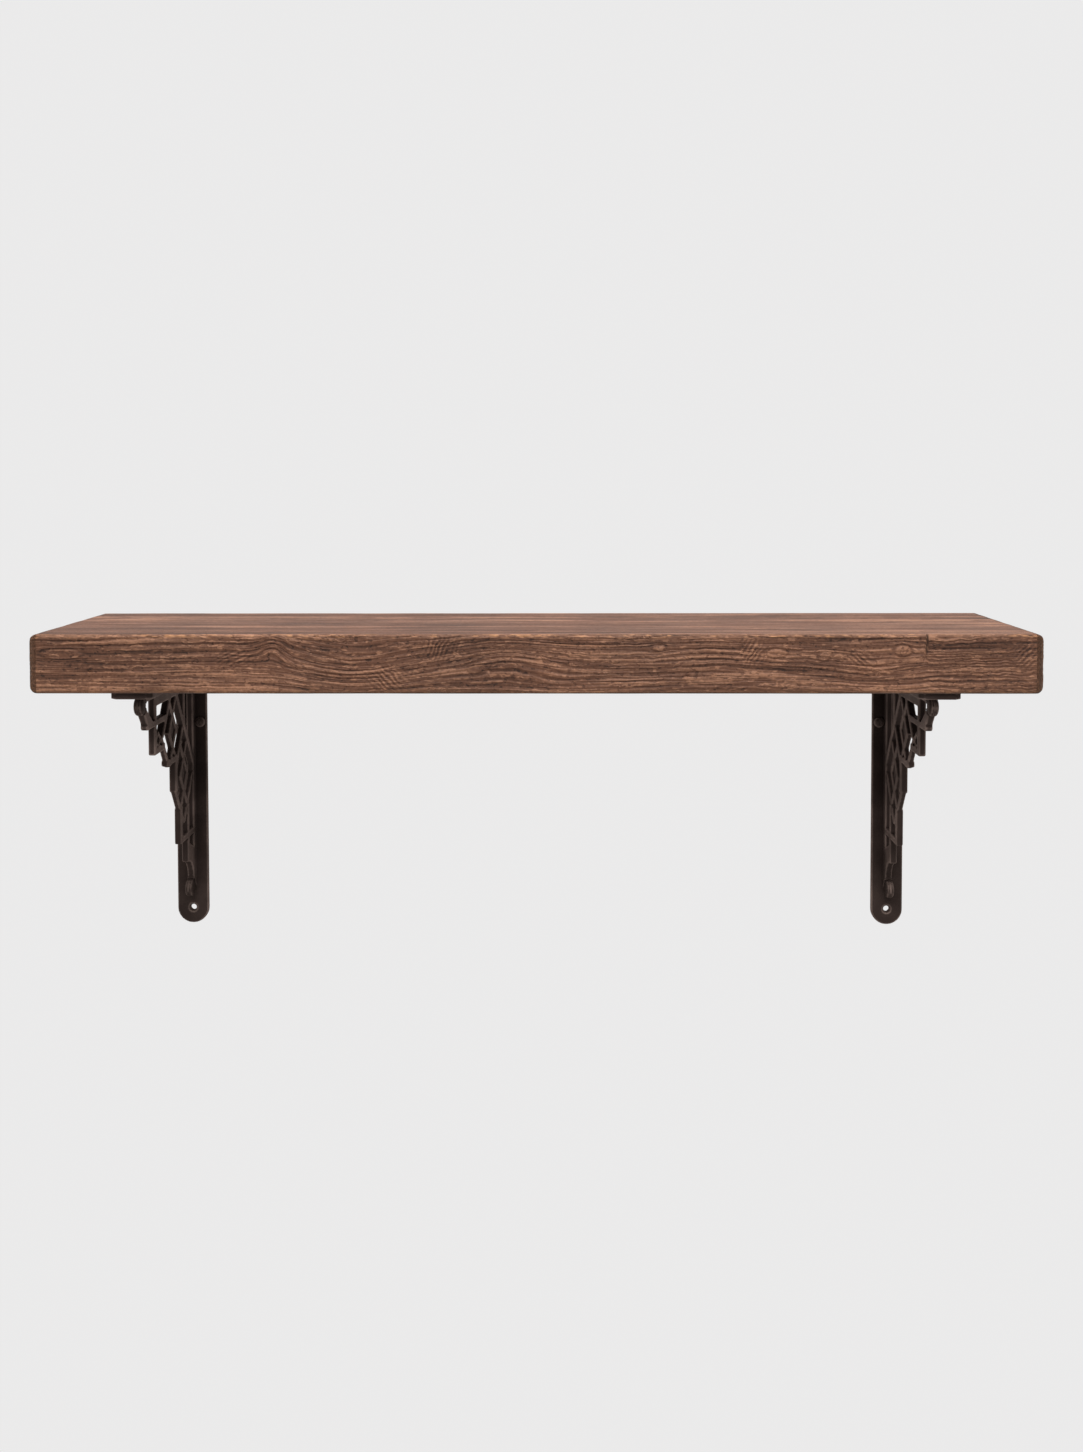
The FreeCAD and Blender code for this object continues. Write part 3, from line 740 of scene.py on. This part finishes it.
def grain_lines(points, settings):
    """Coordinates that follow the grain: along it, across its rings, and round them.

    Rings lie round a pith line below the plank and behind its front. Slow noise makes them wander, each
    bend lifts the lines by a bell in both directions, and each lens draws them towards its middle line, so
    that they part. Past the cross break they ripple, and step outwards near the top.
    """
    along, back, up = place_on(points)
    near_front = bell(back, BEND_REACH)
    lift = np.zeros(along.shape)
    for name, height in GRAIN_WANDER.items():
        lift += height * place_noise(points - BOARD_LOW, name)
    for bend in GRAIN_BENDS:
        lift += near_front * bend[4] * patch_share(along, up, bend)
    face = np.stack([back / BREAK_LENGTHS[0], up / BREAK_LENGTHS[1], np.zeros(up.shape)], -1)
    break_place = settings.break_place + BREAK_WAVER * lattice_noise(face, BREAK_SEED)
    past_break = ease_step(-BREAK_HALF, BREAK_HALF, along - break_place) * near_front
    lift += past_break * BREAK_RIPPLE * place_noise(points - BOARD_LOW, "ripple")
    for lens in GRAIN_LENSES:
        lift += near_front * LENS_DRAW * (up - lens[1]) * patch_share(along, up, lens)
    ring = np.hypot(back - PITH_BACK, up - lift - PITH_UP)
    ring = ring + BREAK_STEP * past_break * ease_step(*BREAK_FADE, up)
    return np.stack([along, ring, np.arctan2(up - PITH_UP, back - PITH_BACK)], -1)


def figure_shares(points):
    """Nearness to a bend of the grain and to a lens, each the largest of its list, on the front only."""
    along, back, up = place_on(points)
    near_front = bell(back, FIGURE_REACH)
    bend, lens = (
        np.max([patch_share(along, up, patch) for patch in patches], axis=0)
        for patches in (GRAIN_BENDS, GRAIN_LENSES)
    )
    return near_front * bend, near_front * lens


def tool_marks(points):
    """Phase and share of the strokes left by a tool, and nearness to the front, as a vector.

    In each patch the phase rises across the stroke direction and wavers, and the share falls from the
    middle as a bell. Where patches meet, the nearer one counts.
    """
    along, back, up = place_on(points)
    waver = STROKE_WAVER * place_noise(points - BOARD_LOW, "waver")
    phase, share = np.zeros(along.shape), np.zeros(along.shape)
    for mark in TOOL_MARKS:
        place, height, angle = mark[0], mark[1], math.radians(mark[4])
        across = (up - height) * math.cos(angle) - (along - place) * math.sin(angle)
        patch = patch_share(along, up, mark)
        phase = np.where(patch > share, 2 * np.pi * across / STROKE_PITCH + waver, phase)
        share = np.maximum(share, patch)
    front = bell(back, MARK_REACH)
    return np.stack([phase, share * front, front], axis=-1)


def arris_share(points, width):
    """Nearness to an edge of the plank: 1 on the edge itself, falling over about a width of each side."""
    room = np.minimum(points - BOARD_LOW, BOARD_HIGH - points)
    middle = np.sort(room, axis=-1)[..., 1]
    return bell(np.maximum(middle - 0.3 * width, 0), 0.55 * width)


def board_grooves(points, grain):
    """Depth of the brushed grooves, as a share of the deepest.

    Coarse broken grooves and fine ones run along the zero lines of two noises. In a bend, rings of one pitch
    take their place. Round a lens runs one groove, and its middle is a clear pad, slightly proud.
    """
    broken = ease_step(-0.8, 0.0, grain_noise(grain, "breaks"))
    coarse = broken * groove(grain_noise(grain, "coarse"), 0.42)
    fine = 0.6 * groove(grain_noise(grain, "fine"), 0.45)
    bend, lens = figure_shares(points)
    turns = 2 * np.pi * grain[..., 1] / RING_PITCH + RING_DRIFT * grain_noise(grain, "drift")
    rings = ease_step(-0.3, 0.9, np.sin(turns))
    grooves = np.maximum(np.maximum(coarse, fine) * (1 - 0.6 * bend), bend * rings)
    rim = (0.5 + 0.5 * broken) * bell(lens - 0.45, 0.17)
    pad = ease_step(0.42, 0.70, lens)
    return np.maximum(grooves * (1 - 0.8 * pad), rim) - 0.10 * pad


def board_depth(points, facing, grain, grooves, chips, settings):
    """How deep the surface is pressed in: brushed grooves, deepest on front and rear, chips and pinholes."""
    along, back, up = place_on(points)
    brushed = 0.2 + 0.8 * np.abs(facing[..., 1])
    depth = settings.groove_depth * brushed * (0.3 + grooves + 0.25 * grain_noise(grain, "swell"))
    depth = depth + settings.chip_depth * chips
    for place, height in PINHOLES:
        hole = bell(np.hypot(along - place, up - height), PINHOLE_RADIUS) * bell(back, MARK_REACH)
        depth = depth + PINHOLE_DEPTH * hole
    return depth


def board_dark_lines(points, front, settings):
    """Tone darkened by painted shade along the lower edge, by dark lines at both ends and by the cross
    crack.
    """
    along, _, up = place_on(points)
    crack = bell(along - settings.break_place, CRACK_LINE) * ease_step(*CRACK_FADE, up) * front
    dark = np.max([
        # Painted shade under the bottom arris.
        0.6 * bell(up, LOWER_SHADE),
        0.4 * bell(along, LEFT_LINE),
        0.6 * bell(BOARD_HIGH[0] - points[..., 0] - RIGHT_INSET, RIGHT_LINE),
        0.6 * crack,
    ], axis=0)
    return 1 - dark


def make_board(settings, material):
    """Press the grain, chips and pinholes into the plank, and keep the fields that its finish reads.

    The slope light is painted light and shade from the slope of the depth up the face, and the worn strip
    with its painted highlight is strongest along the upper front arris.
    """
    points, facing = board_surface(settings)
    grain = grain_lines(points, settings)
    grain[..., 2] *= 1 - END_SQUEEZE * np.abs(facing[..., 0])
    grooves = board_grooves(points, grain)
    strokes = tool_marks(points)
    edge = arris_share(points, settings.worn_width)
    _, back, up = place_on(points)
    thickness = BOARD_HIGH[2] - BOARD_LOW[2]
    upper_edge = edge * bell(np.hypot(back, up - thickness), ARRIS_REACH)
    lower_edge = edge * bell(np.hypot(back, up), ARRIS_REACH)
    gouges = place_noise(points, "gouges")
    specks = ease_step(0.3, 0.6, place_noise(points, "specks") + 0.4 * gouges)
    chips = upper_edge * ease_step(0.25, 0.9, place_noise(points, "lumps") + 0.7 * gouges)
    depth = board_depth(points, facing, grain, grooves, chips, settings)
    column = (thickness - 2 * settings.arris_radius) / settings.front_columns
    slope = (np.roll(depth, -1, axis=1) - np.roll(depth, 1, axis=1)) / (2 * column)
    points = points - facing * np.maximum(depth, 0)[..., None]

    along, back, _ = place_on(points)
    end_room = np.minimum(along, BOARD_HIGH[0] - points[..., 0])
    side_edge = bell(np.hypot(end_room, back), CORNER_REACH)
    # Worn specks on the upper front arris with a painted highlight; painted highlight along the lower arris
    # and the upright corners.
    wear_and_highlight = upper_edge * (0.06 + 0.94 * specks) + lower_edge * (0.24 + 0.6 * specks) + 0.35 * side_edge
    fields = {
        "grain": grain,
        "grooves": grooves,
        "wear_and_highlight": np.clip(wear_and_highlight, 0, 1),
        # Painted shade along the lower edge, with dark lines at the ends and in the crack.
        "dark_lines_and_shade": board_dark_lines(points, strokes[..., 2], settings),
        # Painted light and shade from the slope of the grooves up the front.
        "slope_light": np.clip(np.abs(facing[..., 1]) * slope, -1, 1),
        "strokes": strokes,
    }
    add_surface("plank", points, fields, "shelf_board", material)


# Brackets


def cast_mesh(node, settings):
    """Copy a bracket's solid into an even mesh and smooth its edges as sand casting does."""
    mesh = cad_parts[node].data.copy()
    weld(mesh, SOLID_GAP)
    draft = bpy.data.objects.new("draft", mesh)
    bpy.context.collection.objects.link(draft)
    rounded = draft.modifiers.new("cast_edges", "REMESH")
    rounded.mode = "VOXEL"
    rounded.voxel_size = settings.grain_size
    fettled = draft.modifiers.new("fettled", "SMOOTH")
    fettled.factor = 0.5
    fettled.iterations = settings.fettling
    graph = bpy.context.evaluated_depsgraph_get()
    cast = bpy.data.meshes.new_from_object(draft.evaluated_get(graph), depsgraph=graph)
    bpy.data.objects.remove(draft)
    bpy.data.meshes.remove(mesh)
    return cast


def read_vectors(items, name):
    """Read one vector of each item of a mesh into an array."""
    values = np.empty(len(items) * 3, dtype=np.float32)
    items.foreach_get(name, values)
    return values.reshape(-1, 3).astype(float)


def lobe_shares(points, settings):
    """Distance of each point from the axes of the two lobes, as shares of a lobe's radius."""
    return [
        np.hypot(points[:, 1] - lobe[0], points[:, 2] - lobe[1]) / settings.lobe_radius
        for lobe in (settings.front_lobe, settings.foot_lobe)
    ]


def round_lobes(points, middle, settings):
    """Draw the two sides of each lobe in towards its rim.

    Each side keeps half the lobe's thickness times the cube root of one less the cube of the share of the
    radius.
    """
    for share in lobe_shares(points, settings):
        side = points[:, 0] - middle
        room = LOBE_HALF * np.cbrt(np.maximum(1 - share ** 3, LOBE_RIM))
        points[:, 0] = middle + np.where(share < LOBE_EDGE, np.clip(side, -room, room), side)


def edge_light(mesh, points, facing, pitch):
    """Painted light from -1, painted shade in a crease, to 1, a painted highlight on an edge.

    It is how far a point stands out from the mean of its neighbours, as a share of the mesh's pitch, evened
    out once over the neighbours.
    """
    ends = np.empty(len(mesh.edges) * 2, dtype=np.int32)
    mesh.edges.foreach_get("vertices", ends)
    start, end = np.concatenate([ends.reshape(-1, 2), ends.reshape(-1, 2)[:, ::-1]]).T
    count = np.bincount(start, minlength=len(points))
    total = np.stack([np.bincount(start, points[end, axis], len(points)) for axis in range(3)], -1)
    proud = np.sum((points - total / count[:, None]) * facing, axis=-1) / pitch
    proud = 0.5 * proud + 0.5 * np.bincount(start, proud[end], len(points)) / count
    return ease_step(0.02, 0.14, proud) - ease_step(0.02, 0.12, -proud)


def bracket_light(mesh, middle, settings):
    """Painted light on a bracket, from -1 in full painted shade to 1 in a full painted highlight.

    To the painted highlights and crease shade of its edges are added painted highlights on the crowns of the
    lobes, the raised sides of the web and the rim of the foot's hole, and painted shade on the lobes' sides.
    The wall plate has painted shade beside the web and a painted shadow of the plank, darker towards the
    shelf.
    """
    points, facing = read_vectors(mesh.vertices, "co"), read_vectors(mesh.vertices, "normal")
    side, out, up = points[:, 0] - middle, points[:, 1], points[:, 2]
    sideways = ease_step(0.6, 0.9, np.abs(facing[:, 0]))
    # Painted highlight on the web's raised side faces.
    raised = sideways * ease_step(0.0012, 0.0020, np.abs(side))
    lobe = np.min(lobe_shares(points, settings), axis=0) < LOBE_EDGE
    # Painted highlight where a lobe faces up and out, towards the lamps.
    crown = ease_step(0.55, 0.95, 0.4 * facing[:, 2] - 0.9 * facing[:, 1])
    # Painted highlight round the rim of the foot's countersink.
    mouth = bell(np.hypot(side, up) - MOUTH_RADIUS, MOUTH_RIM) * (out < FOOT_FACE)
    plate = ease_step(0.80, 0.95, -facing[:, 1]) * (out > PLATE_FACE)
    # Painted shade on the wall plate beside the web.
    beside_web = bell(side, WEB_SHADE_HALF) * ease_step(0.010, 0.030, up)
    # Convex edges get a painted highlight and creases painted shade.
    painted_light = edge_light(mesh, points, facing, settings.grain_size) + 0.7 * mouth
    # Lobes: painted highlight on the crown, painted shade on the sides; elsewhere the raised faces' painted
    # highlight.
    painted_light += np.where(lobe, 0.6 * crown - 0.5 * sideways, 0.5 * raised)
    # Painted shadow of the plank on the wall plate, darker towards the shelf, and painted shade beside the
    # web.
    painted_light -= plate * (0.35 * ease_step(0.04, 0.20, up) + 0.40 * beside_web)
    return np.clip(painted_light, -1, 1)


def make_bracket(node, settings, material):
    """Cast a bracket, round its lobes and mark where highlight and shade are painted on it."""
    mesh = cast_mesh(node, settings)
    points = read_vectors(mesh.vertices, "co")
    low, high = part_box(node)
    middle = (low[0] + high[0]) / 2
    round_lobes(points, middle, settings)
    mesh.vertices.foreach_set("co", points.astype(np.float32).ravel())
    weld(mesh, CAST_GAP)
    store_field(mesh, "painted_light", bracket_light(mesh, middle, settings))
    add_piece(f"{node}_casting", mesh, node, material)


# Screws


def thread_rows(start, end, crest, settings):
    """Place along and radius of a screw's threaded stretch at each angle, down to its point.

    The radius rises and falls as a wave of the turns climbed, less the angle's share of a turn, cubed to a
    sharp crest. It tapers to nothing over the point.
    """
    steps_per_turn, sharpness, bluntness = 8, 3, 0.7
    count = int((end - start) / settings.thread_pitch * steps_per_turn)
    along = np.linspace(start, end, count)[:, None]
    angle = np.arange(settings.sides)[None] * 2 * np.pi / settings.sides
    wave = 0.5 + 0.5 * np.cos(2 * np.pi * along / settings.thread_pitch - angle)
    radius = crest - settings.thread_depth * (1 - wave ** sharpness)
    taper = np.clip((end - along) / settings.point_length, 0, 1) ** bluntness
    return np.broadcast_to(along, radius.shape), radius * taper


def screw_rings(profile, shank_length, length, shank_radius, thread_radius, settings):
    """Rings of a screw from the crown of its head to its point, as place along, angle and radius.

    The head's rings follow its own profile with the slot pressed in, then come a plain shank and the thread.
    """
    sides = settings.sides
    angle = np.arange(sides)[None] * 2 * np.pi / sides
    head_along, head_radius = (np.repeat(values[:, None], sides, axis=1) for values in profile)
    slot_half = 0.5 * settings.slot_width
    slot = 1 - ease_step(slot_half, slot_half + SLOT_EASE, np.abs(head_radius * np.sin(angle)))
    slot_floor = head_along.min() + settings.slot_depth
    head_along = head_along + slot * np.maximum(slot_floor - head_along, 0)
    shank_along = np.repeat(np.array([SHANK_STEP, 0.5 * shank_length, shank_length])[:, None], sides, axis=1)
    thread_along, thread_reach = thread_rows(shank_length + SHANK_STEP, length, thread_radius, settings)
    along = np.concatenate([head_along, shank_along, thread_along])
    radius = np.concatenate([head_radius, np.full(shank_along.shape, shank_radius), thread_reach])
    return along, np.broadcast_to(angle, along.shape), radius


def dome_profile(radius, height):
    """Dome of a round head from its crown to its rim, an arc of the circle through both."""
    reach = np.linspace(0, 1, HEAD_ROWS)
    sphere = (radius ** 2 + height ** 2) / (2 * height)
    along = sphere - height - np.sqrt(sphere ** 2 - (radius * reach) ** 2)
    return along, radius * reach


def flat_profile(radius, shank_radius):
    """Face and cone of a countersunk head: straight out to the rim, then in at 45 degrees to the shank."""
    reach = np.linspace(0, 1, HEAD_ROWS)
    cone = np.linspace(0, 1, HEAD_ROWS // 3)[1:]
    along = np.concatenate([np.zeros(HEAD_ROWS), (radius - shank_radius) * cone])
    return along, np.concatenate([radius * reach, radius - (radius - shank_radius) * cone])


def make_wall_screw(node, settings, material):
    """Turn a round-headed screw about an axis that runs into the wall."""
    low, high = (np.array(corner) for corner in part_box(node))
    middle = (low + high) / 2
    head_radius = (high[0] - low[0]) / 2
    seat = low[1] + DOME_HEIGHT
    along, angle, radius = screw_rings(
        dome_profile(head_radius, DOME_HEIGHT),
        WALL_SHANK_LENGTH, high[1] - seat, WALL_SHANK_RADIUS, WALL_THREAD_RADIUS, settings)
    points = np.stack([
        middle[0] + radius * np.sin(angle),
        seat + along,
        middle[2] + radius * np.cos(angle),
    ], axis=-1)
    # Painted highlight on the rim of the dome.
    fields = {"painted_light": ease_step(0.6, 0.95, radius / head_radius)}
    add_surface(f"{node}_turned", points, fields, node, material)


def make_shelf_screw(node, settings, material):
    """Turn a countersunk screw about an upright axis, its flat head at the bottom."""
    low, high = (np.array(corner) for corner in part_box(node))
    middle = (low + high) / 2
    head_radius = (high[0] - low[0]) / 2
    along, angle, radius = screw_rings(
        flat_profile(head_radius, SHELF_SHANK_RADIUS),
        SHELF_SHANK_LENGTH, high[2] - low[2], SHELF_SHANK_RADIUS, SHELF_THREAD_RADIUS, settings)
    points = np.stack([
        middle[0] + radius * np.cos(angle),
        middle[1] + radius * np.sin(angle),
        low[2] + along,
    ], axis=-1)
    add_surface(f"{node}_turned", points, {}, node, material)


# Stage


def backdrop_mix(nodes, hidden, shown):
    """Show one shader to the camera, reflections and transmission, and the other to other light."""
    path = nodes.add("ShaderNodeLightPath", {})
    share = path["Is Camera Ray"]
    for ray in ("Is Glossy Ray", "Is Transmission Ray"):
        share = nodes.math("MAXIMUM", share, path[ray])
    return nodes.add("ShaderNodeMixShader", {"Fac": share, 1: hidden, 2: shown})["Shader"]


def make_world(settings):
    """Even light all round, seen by the camera as the pale backdrop."""
    world = bpy.data.worlds.new("studio")
    nodes = Nodes(world)
    white = (1, 1, 1, 1)
    ambient = nodes.add("ShaderNodeBackground", {"Color": white, "Strength": settings.ambient_level})
    backdrop = nodes.add("ShaderNodeBackground", {"Color": opaque(settings.backdrop_colour)})
    surface = backdrop_mix(nodes, ambient["Background"], backdrop["Background"])
    nodes.add("ShaderNodeOutputWorld", {"Surface": surface})
    bpy.context.scene.world = world


def make_floor(settings):
    """Pale floor far below the shelf, of one tone with the backdrop."""
    half, down = settings.floor_half, -settings.floor_drop
    corners = [(-half, -half, down), (half, -half, down), (half, half, down), (-half, half, down)]
    mesh = bpy.data.meshes.new("floor")
    mesh.from_pydata(corners, [], [(0, 1, 2, 3)])
    material = bpy.data.materials.new("pale_floor")
    nodes = Nodes(material)
    tone = {"Color": opaque(settings.backdrop_colour)}
    matt = nodes.add("ShaderNodeBsdfDiffuse", tone)
    glow = nodes.add("ShaderNodeEmission", tone)
    surface = backdrop_mix(nodes, matt["BSDF"], glow["Emission"])
    nodes.add("ShaderNodeOutputMaterial", {"Surface": surface})
    mesh.materials.append(material)
    floor = bpy.data.objects.new("floor", mesh)
    bpy.context.collection.objects.link(floor)


def make_light(name, place, size, power):
    """Soft rectangular light aimed at the middle of the plank's upper front arris."""
    data = bpy.data.lights.new(name, "AREA")
    data.shape = "RECTANGLE"
    data.size, data.size_y = size
    data.energy = power
    light = bpy.data.objects.new(name, data)
    light.location = place
    aim = Vector((0, BOARD_LOW[1], BOARD_HIGH[2]))
    light.rotation_euler = (aim - Vector(place)).to_track_quat("-Z", "Y").to_euler()
    bpy.context.collection.objects.link(light)


def make_camera(settings):
    """Camera with the photograph's place, tilt and field."""
    data = bpy.data.cameras.new("camera")
    data.sensor_fit = "AUTO"
    data.lens = settings.focal_pixels / settings.picture_height * data.sensor_width
    data.shift_y = settings.axis_row / settings.picture_height - 0.5
    camera = bpy.data.objects.new("camera", data)
    camera.location = settings.camera_place
    level = math.pi / 2
    turn = Euler((level - settings.camera_pitch, 0, settings.camera_yaw), "XYZ").to_matrix()
    lean = Euler((0, 0, -settings.camera_roll), "XYZ").to_matrix()
    camera.rotation_euler = (turn @ lean).to_euler()
    bpy.context.collection.objects.link(camera)
    bpy.context.scene.camera = camera


# Operators


class SHELF_OT_board(bpy.types.Operator):
    """Make the plank"""

    bl_idname = "shelf.board"
    bl_label = "Plank"

    def execute(self, context):
        settings = context.scene.shelf_board
        make_board(settings, wood_material(settings))
        return {"FINISHED"}


class SHELF_OT_brackets(bpy.types.Operator):
    """Make the two iron brackets"""

    bl_idname = "shelf.brackets"
    bl_label = "Brackets"

    def execute(self, context):
        settings = context.scene.shelf_brackets
        material = iron_material("cast_iron", settings.iron_colour, settings.highlight_colour)
        for node in BRACKETS:
            make_bracket(node, settings, material)
        return {"FINISHED"}


class SHELF_OT_wall_screws(bpy.types.Operator):
    """Make the four wall screws"""

    bl_idname = "shelf.wall_screws"
    bl_label = "Wall screws"

    def execute(self, context):
        settings = context.scene.shelf_screws
        material = iron_material("blackened_steel", settings.black_colour, settings.rim_highlight_colour)
        for node in WALL_SCREWS:
            make_wall_screw(node, settings, material)
        return {"FINISHED"}


class SHELF_OT_shelf_screws(bpy.types.Operator):
    """Make the six screws that hold the plank"""

    bl_idname = "shelf.shelf_screws"
    bl_label = "Shelf screws"

    def execute(self, context):
        settings = context.scene.shelf_screws
        material = zinc_material(settings)
        for node in SHELF_SCREWS:
            make_shelf_screw(node, settings, material)
        return {"FINISHED"}


class SHELF_OT_stage(bpy.types.Operator):
    """Make the floor, the light and the camera"""

    bl_idname = "shelf.stage"
    bl_label = "Stage"

    def execute(self, context):
        settings = context.scene.shelf_stage
        context.scene.view_settings.view_transform = "Standard"
        make_world(settings)
        make_floor(settings)
        make_light("key", settings.key_place, settings.key_size, settings.key_power)
        make_light("top", settings.top_place, settings.top_size, settings.top_power)
        make_camera(settings)
        return {"FINISHED"}


class SHELF_PT_panel(bpy.types.Panel):
    """Steps that dress the shelf"""

    bl_idname = "SHELF_PT_panel"
    bl_label = "Bracket Wall Shelf"
    bl_space_type = "VIEW_3D"
    bl_region_type = "UI"
    bl_category = "Shelf"

    def draw(self, context):
        for operator in OPERATORS:
            self.layout.operator(operator.bl_idname)


OPERATORS = (SHELF_OT_board, SHELF_OT_brackets, SHELF_OT_wall_screws, SHELF_OT_shelf_screws, SHELF_OT_stage)
SETTINGS = {
    "shelf_board": BoardSettings,
    "shelf_brackets": BracketSettings,
    "shelf_screws": ScrewSettings,
    "shelf_stage": StageSettings,
}
CLASSES = (*SETTINGS.values(), *OPERATORS, SHELF_PT_panel)


def register():
    """Make the classes known and hang the settings on the scene."""
    for group in CLASSES:
        bpy.utils.register_class(group)
    for name, group in SETTINGS.items():
        setattr(bpy.types.Scene, name, PointerProperty(type=group))


def unregister():
    """Take the settings and the classes away again."""
    for name in SETTINGS:
        delattr(bpy.types.Scene, name)
    for group in reversed(CLASSES):
        bpy.utils.unregister_class(group)


def main():
    """Register the add-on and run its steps."""
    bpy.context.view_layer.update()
    register()
    bpy.ops.shelf.board()
    bpy.ops.shelf.brackets()
    bpy.ops.shelf.wall_screws()
    bpy.ops.shelf.shelf_screws()
    bpy.ops.shelf.stage()


if __name__ == "__main__":
    main()
